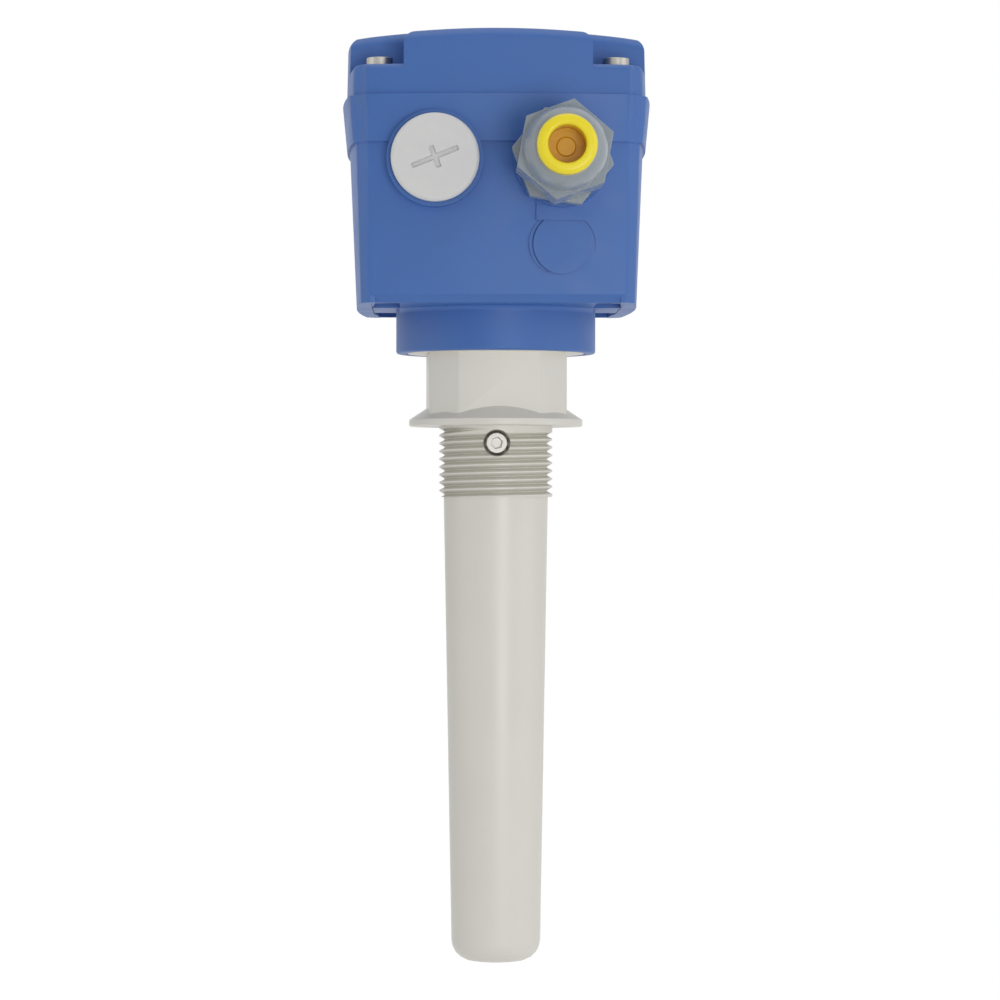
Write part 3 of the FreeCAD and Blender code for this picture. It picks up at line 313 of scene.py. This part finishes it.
def rubber():
    """Black nitrile rubber with a dusty bloom."""
    material, tree, place = new_material("nitrile_rubber_black")
    dust = add_node(tree, "ShaderNodeTexNoise", {"Vector": place, "Scale": per_mm(1.2), "Detail": 6.0})
    tint = add_node(tree, "ShaderNodeMix", {0: dust.outputs[0], 6: linear("151515"), 7: linear("2B2B2B")},
                    data_type="RGBA")
    relief = add_node(tree, "ShaderNodeBump",
                      {"Height": dust.outputs[0], "Strength": 0.4, "Distance": 0.01 * mm})
    skin = add_node(tree, "ShaderNodeBsdfPrincipled",
                    {"Base Color": tint.outputs[2], "Roughness": 0.62, "Normal": relief.outputs[0]})
    add_node(tree, "ShaderNodeOutputMaterial", {"Surface": skin.outputs[0]})
    return material


def laminate():
    """Green solder resist over copper tracks about 1.2 mm apart."""
    material, tree, place = new_material("glass_epoxy_laminate_green")
    bend = add_node(tree, "ShaderNodeTexVoronoi", {"Vector": place, "Scale": per_mm(7.0)},
                    distance="MANHATTAN")
    tracks = add_node(tree, "ShaderNodeMath", {0: bend.outputs[0], 1: 9.0}, operation="MULTIPLY")
    tracks = add_node(tree, "ShaderNodeMath", {0: tracks.outputs[0]}, operation="FRACT")
    copper = add_node(tree, "ShaderNodeMath", {0: tracks.outputs[0], 1: 0.62}, operation="GREATER_THAN")
    tint = add_node(tree, "ShaderNodeMix", {0: copper.outputs[0], 6: linear("1E5B34"), 7: linear("2F7A45")},
                    data_type="RGBA")
    relief = add_node(tree, "ShaderNodeBump",
                      {"Height": copper.outputs[0], "Strength": 0.5, "Distance": 0.03 * mm})
    skin = add_node(tree, "ShaderNodeBsdfPrincipled",
                    {"Base Color": tint.outputs[2], "Roughness": 0.24, "Normal": relief.outputs[0],
                     "IOR": 1.55})
    add_node(tree, "ShaderNodeOutputMaterial", {"Surface": skin.outputs[0]})
    return material


finishes = dict(plastics)
finishes["screw_steel"] = turned_metal("stainless_steel_turned", "B5B3AE", "98958F", 0.36)
finishes["electrode_metal"] = turned_metal("stainless_steel_drawn", "CFCFCF", "B9B9B9", 0.34)
finishes["brass_parts"] = turned_metal("brass_turned", "D9B566", "C69F50", 0.28)
finishes["capacitor_can"] = turned_metal("aluminium_drawn", "D6D8DA", "C2C5C8", 0.36)
finishes["seal_rubber"] = rubber()
finishes["board_laminate"] = laminate()

slot_of = {part["node"]: part["material_slot"] for part in frame["record"]["subparts"]}
for name, node in nodes.items():
    node.data.materials.clear()
    node.data.materials.append(finishes[slot_of[name]])
print(len(finishes), "finishes on", len(nodes), "nodes")

# %% [markdown]
# ## Tools for joining, cutting and fitting
#
# Some forms are added to a copied piece or cut from it, so this cell holds the few shapes that serve as tools:
# an upright prism from any outline, and a call that joins or cuts and then drops the tool. The Boolean
# solver is the exact one, because a join that misses by a hair leaves a hole that shows.

# %% Shape the tools
def baked(item, mesh_name):
    """Turn the piece's modifiers into plain mesh."""
    graph = bpy.context.evaluated_depsgraph_get()
    mesh = bpy.data.meshes.new_from_object(item.evaluated_get(graph))
    mesh.name = mesh_name
    item.modifiers.clear()
    item.data = mesh
    return mesh


def prism(name, outline, low, high, rounding=0.0):
    """Upright prism from an outline in mm, with its upright edges rounded on request."""
    soup = bmesh.new()
    base = soup.faces.new([soup.verts.new((x * mm, y * mm, low * mm)) for x, y in outline])
    lifted = bmesh.ops.extrude_face_region(soup, geom=[base])["geom"]
    tops = [v for v in lifted if isinstance(v, bmesh.types.BMVert)]
    bmesh.ops.translate(soup, verts=tops, vec=(0, 0, (high - low) * mm))
    if rounding:
        sides = [e for e in soup.edges if abs(e.verts[0].co.z - e.verts[1].co.z) > mm]
        bmesh.ops.bevel(soup, geom=sides, offset=rounding * mm, segments=3, affect="EDGES", profile=0.5)
    bmesh.ops.recalc_face_normals(soup, faces=soup.faces)
    mesh = bpy.data.meshes.new(name)
    soup.to_mesh(mesh)
    soup.free()
    item = bpy.data.objects.new(name, mesh)
    scene.collection.objects.link(item)
    return item


def box(name, low, high):
    """Box from its two corners in mm."""
    return prism(name, [(low[0], low[1]), (high[0], low[1]), (high[0], high[1]), (low[0], high[1])],
                 low[2], high[2])


def ring_points(radius, steps=64):
    """Outline of a circle in mm."""
    angles = [math.tau * step / steps for step in range(steps)]
    return [(radius * math.cos(angle), radius * math.sin(angle)) for angle in angles]


def join_or_cut(item, tool, operation):
    """Join a tool solid to a piece or cut it from the piece, and drop the tool."""
    change = item.modifiers.new("shape", "BOOLEAN")
    change.operation = operation
    change.solver = "EXACT"
    change.object = tool
    bpy.context.view_layer.update()
    baked(item, item.data.name)
    bpy.data.objects.remove(tool)


def turned_to_front(tool, x, y, z):
    """Lay an upright tool along the line from front to back, at a place in mm."""
    tool.data.transform(Matrix.Translation((x * mm, y * mm, z * mm))
                        @ Matrix.Rotation(math.radians(90), 4, "X"))
    return tool


print("tools ready")

# %% [markdown]
# ## Softened edges
#
# No moulding has a truly sharp edge: the mould's own corners are rounded by some tenths of a millimetre, and
# that thin rounding catches the light all along an edge. It is what tells the eye how big a thing is.
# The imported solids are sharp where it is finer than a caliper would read, so each large piece is copied,
# its loose triangles are merged into whole faces, and every edge sharper than 40 degrees is rounded.

# %% Round the fine edges
SOFT_EDGES = {
    # node: (rounding in mm, steps)
    "housing_base": (0.45, 3),
    "lid": (0.45, 3),
    "blanking_plug": (0.30, 2),
    "gland_body": (0.25, 2),
    "gland_nut": (0.30, 2),
    "dust_plug": (0.25, 2),
    "ground_screw": (0.15, 2),
    "lid_screws": (0.15, 2),
}
EDGE_ANGLE = math.radians(40)
# The solid's two long hollows, a hair larger, and the four short ones that take their place, in mm
FILLING = {"inner": 28.15, "outer": 37.25, "end": 37.05, "top": 36.7}
HOLLOWS = {"inner": 27.9, "outer": 36.1, "start": 12.6, "end": 35.6, "floor": 34.1, "depth": 2.8}
# Heights along the band in mm: the solid's half width and corner radius there, and the half width it gets,
# so that the band ends widest at the parting line
BAND = {79.3: (43.9, 6.15, 43.5), 86.6: (44.75, 7.0, 44.2), 92.5: (43.7, 5.0, 44.75)}


def merged_copy(name):
    """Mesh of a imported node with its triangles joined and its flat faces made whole."""
    mesh = nodes[name].data.copy()
    mesh.name = f"{name}_skin"
    soup = bmesh.new()
    soup.from_mesh(mesh)
    bmesh.ops.remove_doubles(soup, verts=soup.verts, dist=0.002 * mm)
    bmesh.ops.dissolve_degenerate(soup, edges=soup.edges, dist=0.002 * mm)
    bmesh.ops.dissolve_limit(soup, angle_limit=math.radians(0.6), verts=soup.verts, edges=soup.edges)
    bmesh.ops.recalc_face_normals(soup, faces=soup.faces)
    soup.to_mesh(mesh)
    soup.free()
    for layer in ("custom_normal", "sharp_face", "sharp_edge"):
        if layer in mesh.attributes:
            mesh.attributes.remove(mesh.attributes[layer])
    mesh.polygons.foreach_set("use_smooth", [True] * len(mesh.polygons))
    return mesh


def body_of(name):
    """Name of the body that a node belongs to."""
    return next(body for body, members in frame["record"]["behaviour"]["bodies"].items() if name in members)


def draft_band(mesh):
    """Widen the band evenly from its foot to the parting line."""
    moved = 0
    levels = sorted(BAND)
    for vertex in mesh.vertices:
        height = vertex.co.z / mm
        for low, high in zip(levels, levels[1:]):
            if not low - 0.01 <= height <= high + 0.01:
                continue
            share = (height - low) / (high - low)
            half, corner, wanted = [a + share * (b - a) for a, b in zip(BAND[low], BAND[high])]
            past = [max(abs(v) / mm - (half - corner), 0) for v in vertex.co[:2]]
            if abs(math.hypot(*past) - corner) < 0.08:
                vertex.co.x *= wanted / half
                vertex.co.y *= wanted / half
                moved += 1
            break
    print("band drafted,", moved, "points")


def refit_foot(item):
    """Fill the two long hollows under the foot and cut four short ones."""
    for side in (-1, 1):
        edges = sorted((side * FILLING["inner"], side * FILLING["outer"]))
        join_or_cut(item, box("filling", (edges[0], -FILLING["end"], HOLLOWS["floor"]),
                              (edges[1], FILLING["end"], FILLING["top"])), "UNION")
    for side in (-1, 1):
        edges = sorted((side * HOLLOWS["inner"], side * HOLLOWS["outer"]))
        for end in (-1, 1):
            ends = sorted((end * HOLLOWS["start"], end * HOLLOWS["end"]))
            join_or_cut(item, box("hollow", (edges[0], ends[0], HOLLOWS["floor"] - 1),
                                  (edges[1], ends[1], HOLLOWS["floor"] + HOLLOWS["depth"])), "DIFFERENCE")


def new_skin(name):
    """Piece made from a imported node, in that node's finish."""
    skin = bpy.data.objects.new(f"{name}_skin", merged_copy(name))
    scene.collection.objects.link(skin)
    skin.data.materials.clear()
    skin.data.materials.append(finishes[slot_of[name]])
    return skin


skins = {}
for name, (rounding, steps) in SOFT_EDGES.items():
    skin = new_skin(name)
    if name == "housing_base":
        draft_band(skin.data)
        refit_foot(skin)
    soft = skin.modifiers.new("soft_edges", "BEVEL")
    soft.width = rounding * mm
    soft.segments = steps
    soft.limit_method = "ANGLE"
    soft.angle_limit = EDGE_ANGLE
    soft.harden_normals = True
    soft.use_clamp_overlap = True
    before = len(skin.data.polygons)
    baked(skin, f"{name}_skin")
    skins[name] = skin
    print(name, before, "faces, then", len(skin.data.polygons))

# %% [markdown]
# ## The crowned head
#
# The head's walls aren't flat. A large flat wall of hard plastic sinks in as it cools, so the mould is crowned:
# each side bulges by about 3 mm, and the band at the parting line is drafted, widest where lid and housing
# meet. Each skin is cut into strips, and every point is then moved by one rule: towards the middle by the
# square of its distance along the face. What lies inside the walls stays where it is, apart from the corner
# posts with their screws and inserts, which step in with the corners. The hollows under the foot are filled
# and cut again as four short ones, and a fine groove is cut round the disc on the front.

# %% Crown the head
CROWN_RADIUS = 260.0
CROWN_START, CROWN_FULL = 36.0, 42.0
STRIP = 4.0
POST = 34.8
POST_REACH = 5.5
POST_STEP = 1.3
# What stands further to the front than this belongs to an entry boss and stays in place
FRONT_OF_WALL = 44.76
DISC = {"x": 18.4, "z": 50.5, "radius": 8.6, "width": 0.45, "top": 6.6, "face": 42.05, "depth": 0.75}


def crowned(x, y):
    """Place of a point, in mm, once the walls are crowned."""
    if math.hypot(abs(x) - POST, abs(y) - POST) < POST_REACH:
        return x - math.copysign(POST_STEP, x), y - math.copysign(POST_STEP, y)
    pull = [min(max((abs(v) - CROWN_START) / (CROWN_FULL - CROWN_START), 0), 1) for v in (x, y)]
    return (x - math.copysign(pull[0] * y * y / (2 * CROWN_RADIUS), x),
            y - math.copysign(pull[1] * x * x / (2 * CROWN_RADIUS), y))


def crown(item):
    """Cut a piece's outer faces into strips and crown them."""
    soup = bmesh.new()
    soup.from_mesh(item.data)
    for axis in (0, 1):
        for step in range(-10, 11):
            faces = [f for f in soup.faces
                     if any(max(abs(v.co.x), abs(v.co.y)) > 38.5 * mm for v in f.verts)]
            geometry = set(faces)
            for face in faces:
                geometry.update(face.edges)
                geometry.update(face.verts)
            place = [0.0, 0.0, 0.0]
            place[axis] = step * STRIP * mm
            normal = [0.0, 0.0, 0.0]
            normal[axis] = 1.0
            bmesh.ops.bisect_plane(soup, geom=list(geometry), dist=0.001 * mm, plane_co=place, plane_no=normal)
    for vertex in soup.verts:
        if vertex.co.y > -FRONT_OF_WALL * mm:
            x, y = crowned(vertex.co.x / mm, vertex.co.y / mm)
            vertex.co.x, vertex.co.y = x * mm, y * mm
    soup.to_mesh(item.data)
    soup.free()
    if "custom_normal" in item.data.attributes:
        item.data.attributes.remove(item.data.attributes["custom_normal"])
    item.data.set_sharp_from_angle(angle=EDGE_ANGLE)
    even = item.modifiers.new("even_normals", "WEIGHTED_NORMAL")
    even.keep_sharp = True
    baked(item, item.data.name)
    print(item.name, "crowned,", len(item.data.polygons), "faces")


groove = prism("groove", ring_points(DISC["radius"] + DISC["width"]), 0.0, 5.0)
join_or_cut(groove, prism("core", ring_points(DISC["radius"]), -1.0, 6.0), "DIFFERENCE")
join_or_cut(groove, box("above", (-12, DISC["top"], -1), (12, 12, 6)), "DIFFERENCE")
turned_to_front(groove, DISC["x"], DISC["depth"] - DISC["face"], DISC["z"])
join_or_cut(skins["housing_base"], groove, "DIFFERENCE")
for name in ("housing_base", "lid"):
    crown(skins[name])
for name in ("lid_gasket", "thread_inserts"):
    skins[name] = new_skin(name)
crown(skins["lid_gasket"])
for name in ("thread_inserts", "lid_screws"):
    for vertex in skins[name].data.vertices:
        vertex.co.x -= math.copysign(POST_STEP * mm, vertex.co.x)
        vertex.co.y -= math.copysign(POST_STEP * mm, vertex.co.y)

# %% [markdown]
# ## The gland's nut
#
# A gland is closed with a wrench on the hexagon of its nut, so the hexagon takes up most of the nut's length
# and only the dome in front is round. Every point of the nut's skin is moved along the nut's axis by a rule
# that lengthens the hexagon and shortens the dome, with both ends kept.

# %% Lengthen the hexagon
NUT = {"back": -52.1, "shoulder": -64.6, "moved": -69.0, "front": -78.1}

for vertex in skins["gland_nut"].data.vertices:
    y = vertex.co.y / mm
    if y >= NUT["shoulder"]:
        share = (y - NUT["back"]) / (NUT["shoulder"] - NUT["back"])
        y = NUT["back"] + share * (NUT["moved"] - NUT["back"])
    else:
        share = (y - NUT["shoulder"]) / (NUT["front"] - NUT["shoulder"])
        y = NUT["moved"] + share * (NUT["front"] - NUT["moved"])
    vertex.co.y = y * mm
print("hexagon is now", round(NUT["back"] - NUT["moved"], 1), "mm long")

# %% [markdown]
# ## The probe's moulding
#
# Tube, thread, flange and neck are one turned form, 27 cm long, and it fills most of the picture. The packed
# solid gives its size but shows its facets in a raking light, so the form is turned again here, finer and
# with each outer corner rounded as a mould has it. The wrench section and the pocket of the contact screw
# are then joined and cut as they are in the solid.

# %% Turn the probe
TURN_STEPS = 160
PROBE_OUTLINE = [
    # radius, height and rounding of each corner in mm, from the tip up and then down the bore
    (0.0, -156.6, 0.0), (12.95, -156.6, 5.95), (15.3, -20.7, 0.0), (16.6245, -20.7, 0.25),
    (16.6245, 0.0, 0.0), (25.13, 0.0, 0.25), (25.45, 0.32, 0.15), (25.45, 1.9, 0.35), (20.0, 5.5, 0.0),
    (19.0, 21.3, 0.0), (26.0, 21.3, 0.3), (26.0, 25.1, 0.3), (19.0, 25.1, 0.0), (19.0, 30.1, 0.2),
    (17.5, 30.1, 0.2), (17.5, 32.7, 0.2), (19.0, 32.7, 0.2), (19.0, 42.4, 0.4), (10.5, 42.4, 0.3),
    (10.5, -20.7, 0.0), (9.5, -152.6, 1.0), (0.0, -152.6, 0.0),
]
WRENCH = {"half": 20.0, "corner": 8.0, "low": 2.4, "high": 21.3, "turn": math.radians(2.4), "rounding": 0.5}
SCREW_POCKET = {"height": -5.1, "radius": 3.9, "floor": 13.8245, "hole": 2.05}


def rounded(corners, steps=5):
    """Outline in metres with an arc at each corner that has a rounding."""
    path = []
    for index, (radius, height, rounding) in enumerate(corners):
        here = Vector((radius, height))
        if rounding == 0 or index in (0, len(corners) - 1):
            path.append(here)
            continue
        ways = [(Vector(corners[index + side][:2]) - here).normalized() for side in (-1, 1)]
        half_angle = ways[0].angle(ways[1]) / 2
        middle = (ways[0] + ways[1]).normalized()
        centre = here + middle * rounding / math.sin(half_angle)
        ends = [here + way * rounding / math.tan(half_angle) - centre for way in ways]
        sweep = ends[0].angle_signed(ends[1])
        for step in range(steps + 1):
            spoke = ends[0].copy()
            spoke.rotate(Matrix.Rotation(-sweep * step / steps, 2))
            path.append(centre + spoke)
    return [point * mm for point in path]


def turned_mesh(name, corners):
    """Closed mesh turned about Z from an outline that starts and ends on the axis."""
    soup = bmesh.new()
    path = rounded(corners)
    rings = []
    for radius, height in path:
        if radius < 1e-7:
            rings.append([soup.verts.new((0, 0, height))])
            continue
        angles = [math.tau * step / TURN_STEPS for step in range(TURN_STEPS)]
        rings.append([soup.verts.new((radius * math.cos(a), radius * math.sin(a), height)) for a in angles])
    for low, high in zip(rings, rings[1:]):
        for step in range(TURN_STEPS):
            after = (step + 1) % TURN_STEPS
            if len(low) == 1:
                soup.faces.new((low[0], high[after], high[step]))
            elif len(high) == 1:
                soup.faces.new((low[step], low[after], high[0]))
            else:
                soup.faces.new((low[step], low[after], high[after], high[step]))
    bmesh.ops.recalc_face_normals(soup, faces=soup.faces)
    mesh = bpy.data.meshes.new(name)
    soup.to_mesh(mesh)
    soup.free()
    return mesh


probe = bpy.data.objects.new("probe_body_skin", turned_mesh("probe_body_skin", PROBE_OUTLINE))
scene.collection.objects.link(probe)
half, corner = WRENCH["half"], WRENCH["half"] - WRENCH["corner"]
flats = [(half, -corner), (half, corner), (corner, half), (-corner, half),
         (-half, corner), (-half, -corner), (-corner, -half), (corner, -half)]
wrench = prism("wrench", flats, WRENCH["low"], WRENCH["high"], WRENCH["rounding"])
wrench.data.transform(Matrix.Rotation(WRENCH["turn"], 4, "Z"))
join_or_cut(probe, wrench, "UNION")
for radius, inner, outer in ((SCREW_POCKET["radius"], SCREW_POCKET["floor"], 20.0),
                             (SCREW_POCKET["hole"], 9.0, 20.0)):
    drill = turned_to_front(prism("drill", ring_points(radius), inner, outer), 0, 0, SCREW_POCKET["height"])
    join_or_cut(probe, drill, "DIFFERENCE")
skins["probe_body"] = probe
print("probe_body", len(probe.data.polygons), "faces")

# %% [markdown]
# ## The pipe thread
#
# A 1 inch parallel pipe thread has 11 turns to the inch and a 55 degree V that is rounded at crest and root.
# Its groove is cut as it would be on a lathe: a V-shaped tool follows a helix round the plain cylinder.
# Geometry Nodes draw the helix from the real pitch and sweep the tool's section along it, and the cutter is
# then taken from the moulding. Right under the flange the tool lifts out over an eighth of a turn.

# %% Cut the thread
THREAD = {
    # input: value, lengths in metres
    "Pitch": 2.309 * mm,
    "Radius": 16.6245 * mm,
    "Depth": 1.479 * mm,
    "Flank": 55.0,
    "Low": -21.13 * mm,
    "Turns": 8.72,
}
HELIX_STEPS = 96
TOOL_TURN = math.radians(90)
# How far the tool stands out of the plain cylinder, so that its outer face cuts no film
TOOL_SPARE = 0.15 * mm
# A rounded V is cut off a sixth of its sharp height, 0.9605 of the pitch, from its apex
CUT_APEX = 0.9605 / 6
LIFT_TURNS = 0.12
# name, operation and two terms, each a number or a name from above
THREAD_SUMS = [
    ("half_flank", "MULTIPLY", "Flank", 0.5),
    ("half_flank", "RADIANS", "half_flank", 0.0),
    ("slope", "TANGENT", "half_flank", 0.0),
    ("reach", "ADD", "Depth", TOOL_SPARE),
    ("apex", "MULTIPLY", "Pitch", CUT_APEX),
    ("root", "MULTIPLY", "apex", "slope"),
    ("root", "MULTIPLY", "root", 2.0),
    ("sides", "MULTIPLY", "reach", "slope"),
    ("sides", "MULTIPLY", "sides", 2.0),
    ("mouth", "ADD", "root", "sides"),
    ("outside", "ADD", "Radius", TOOL_SPARE),
    ("half_reach", "MULTIPLY", "reach", 0.5),
    ("middle", "SUBTRACT", "outside", "half_reach"),
    ("height", "MULTIPLY", "Pitch", "Turns"),
    ("lift_share", "DIVIDE", LIFT_TURNS, "Turns"),
    ("last", "SUBTRACT", 1.0, "lift_share"),
]


def group_tree(name, inputs):
    """New Geometry Nodes tree with one mesh in, one mesh out and named numbers."""
    tree = bpy.data.node_groups.new(name, "GeometryNodeTree")
    tree.interface.new_socket("Geometry", in_out="INPUT", socket_type="NodeSocketGeometry")
    tree.interface.new_socket("Geometry", in_out="OUTPUT", socket_type="NodeSocketGeometry")
    for title in inputs:
        tree.interface.new_socket(title, in_out="INPUT", socket_type="NodeSocketFloat")
    return tree, tree.nodes.new("NodeGroupInput").outputs


def set_inputs(modifier, values):
    """Give a Geometry Nodes modifier its numbers by the name of each input."""
    for item in modifier.node_group.interface.items_tree:
        if item.item_type == "SOCKET" and item.in_out == "INPUT" and item.name in values:
            modifier[item.identifier] = values[item.name]


def thread_cutter(finish):
    """Tree that sweeps a V-shaped tool along a helix."""
    tree, given = group_tree("thread_cutter", THREAD)
    sums = {title: given[title] for title in THREAD}
    for title, operation, first, second in THREAD_SUMS:
        terms = {0: sums.get(first, first), 1: sums.get(second, second)}
        sums[title] = add_node(tree, "ShaderNodeMath", terms, operation=operation).outputs[0]
    helix = add_node(tree, "GeometryNodeCurveSpiral", {
        "Resolution": HELIX_STEPS, "Rotations": given["Turns"], "Start Radius": sums["middle"],
        "End Radius": sums["middle"], "Height": sums["height"], "Reverse": True})
    along_helix = add_node(tree, "GeometryNodeSplineParameter")
    lift = add_node(tree, "ShaderNodeMapRange",
                    {"Value": along_helix.outputs["Factor"], "From Min": sums["last"], "From Max": 1.0,
                     "To Min": 0.0, "To Max": given["Depth"]})
    place = add_node(tree, "GeometryNodeInputPosition")
    flat = add_node(tree, "ShaderNodeVectorMath", {0: place.outputs[0], 1: (1.0, 1.0, 0.0)},
                    operation="MULTIPLY")
    outward = add_node(tree, "ShaderNodeVectorMath", {0: flat.outputs[0]}, operation="NORMALIZE")
    push = add_node(tree, "ShaderNodeVectorMath", {0: outward.outputs[0], "Scale": lift.outputs[0]},
                    operation="SCALE")
    rise = add_node(tree, "ShaderNodeCombineXYZ", {"Z": given["Low"]})
    move = add_node(tree, "ShaderNodeVectorMath", {0: push.outputs[0], 1: rise.outputs[0]}, operation="ADD")
    path = add_node(tree, "GeometryNodeSetPosition", {"Geometry": helix.outputs[0], "Offset": move.outputs[0]})
    level = add_node(tree, "GeometryNodeSetCurveNormal", {0: path.outputs[0]}, mode="Z_UP")
    tool = add_node(tree, "GeometryNodeCurvePrimitiveQuadrilateral",
                    {"Height": sums["reach"], "Bottom Width": sums["mouth"], "Top Width": sums["root"],
                     "Offset": 0.0},
                    mode="TRAPEZOID")
    turned_tool = add_node(tree, "GeometryNodeTransform",
                           {"Geometry": tool.outputs[0], "Rotation": (0.0, 0.0, TOOL_TURN)})
    swept = add_node(tree, "GeometryNodeCurveToMesh",
                     {"Curve": level.outputs[0], "Profile Curve": turned_tool.outputs[0], "Fill Caps": True})
    real = add_node(tree, "GeometryNodeRealizeInstances", {0: swept.outputs[0]})
    coat = add_node(tree, "GeometryNodeSetMaterial", {0: real.outputs[0], "Material": finish})
    add_node(tree, "NodeGroupOutput", {0: coat.outputs[0]})
    return tree


cutter = bpy.data.objects.new("thread_cutter", bpy.data.meshes.new("thread_cutter"))
scene.collection.objects.link(cutter)
sweep = cutter.modifiers.new("sweep", "NODES")
sweep.node_group = thread_cutter(finishes["probe_plastic"])
set_inputs(sweep, THREAD)
baked(cutter, "thread_cutter")
reach = [math.hypot(v.co.x, v.co.y) / mm for v in cutter.data.vertices]
print("cutter", len(cutter.data.polygons), "faces, radius", round(min(reach), 2), "to", round(max(reach), 2))

join_or_cut(probe, cutter, "DIFFERENCE")
probe.data.materials.clear()
probe.data.materials.append(finishes["probe_plastic"])
probe.data.polygons.foreach_set("use_smooth", [True] * len(probe.data.polygons))
probe.data.set_sharp_from_angle(angle=EDGE_ANGLE)
print("probe_body with its thread", len(probe.data.polygons), "faces")

# %% [markdown]
# ## Put the dressed pieces in place
#
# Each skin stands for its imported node, moves with the same body and takes the same finish.

# %% Replace the nodes
for name, skin in skins.items():
    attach(skin, body_of(name))
    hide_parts(name)
print(len(skins), "nodes replaced")
